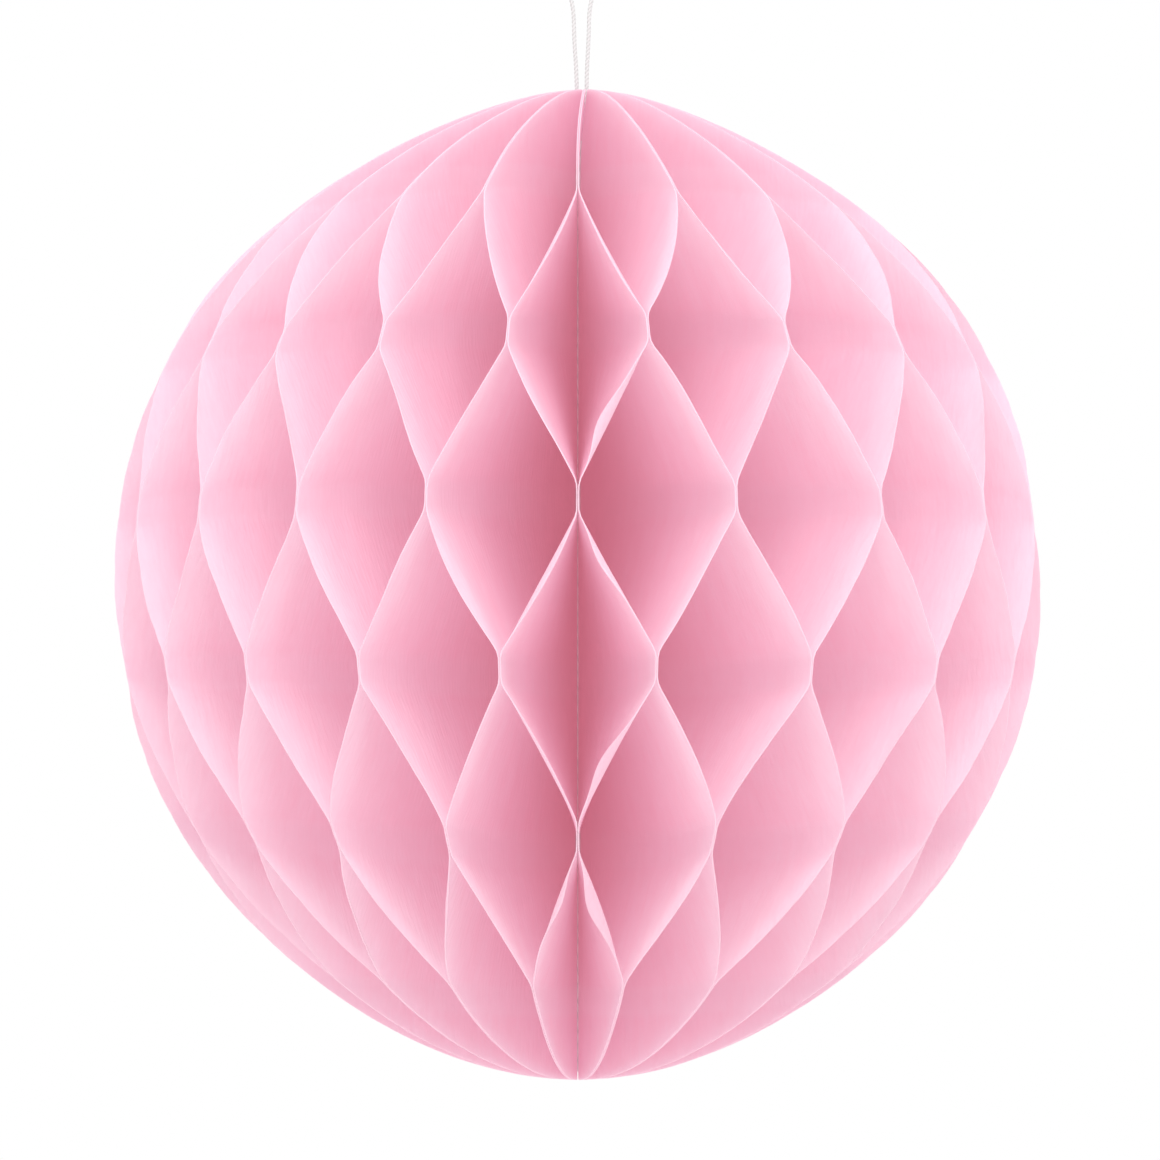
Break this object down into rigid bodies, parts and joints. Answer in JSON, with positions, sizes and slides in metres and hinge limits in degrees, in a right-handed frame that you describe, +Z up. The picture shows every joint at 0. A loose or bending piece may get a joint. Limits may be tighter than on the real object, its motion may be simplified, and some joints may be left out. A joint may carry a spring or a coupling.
{
  "type": "honeycomb paper ball",
  "caption": "Pink tissue honeycomb ball: glued half-disc leaves fanned round an axis, with a white thread loop to hang it by.",
  "frame": {"origin": "middle of the opened ball, on the axis that its leaves are gathered on, halfway between the poles", "axes": "+Z up along the axis towards the hanging loop, -Y towards the front, where the cells are evenly cut by the middle, +Y towards the closing seam"},
  "size_m": [0.0934, 0.0931, 0.1133],
  "materials": {
    "tissue": "thin matte pink tissue that light shines through",
    "card": "matte pink card",
    "thread": "twisted white cotton"
  },
  "bodies": {
    "root": {"leaf_01": "tissue", "leaf_02": "tissue", "leaf_03": "tissue", "leaf_04": "tissue", "leaf_05": "tissue", "leaf_06": "tissue", "leaf_07": "tissue", "leaf_08": "tissue", "leaf_09": "tissue", "leaf_10": "tissue", "leaf_11": "tissue", "leaf_12": "tissue", "leaf_13": "tissue", "leaf_14": "tissue", "leaf_15": "tissue", "leaf_16": "tissue", "leaf_17": "tissue", "leaf_18": "tissue", "leaf_19": "tissue", "leaf_20": "tissue", "leaf_21": "tissue", "leaf_22": "tissue", "leaf_23": "tissue", "leaf_24": "tissue", "leaf_25": "tissue", "leaf_26": "tissue", "leaf_27": "tissue", "leaf_28": "tissue", "leaf_29": "tissue", "leaf_30": "tissue", "leaf_31": "tissue", "leaf_32": "tissue", "leaf_33": "tissue", "leaf_34": "tissue", "leaf_35": "tissue", "leaf_36": "tissue", "leaf_37": "tissue", "leaf_38": "tissue", "leaf_39": "tissue", "leaf_40": "tissue", "seam_cover_right": "card", "seam_cover_left": "card", "binding": "thread", "hanging_loop": "thread"}
  },
  "joints": []
}
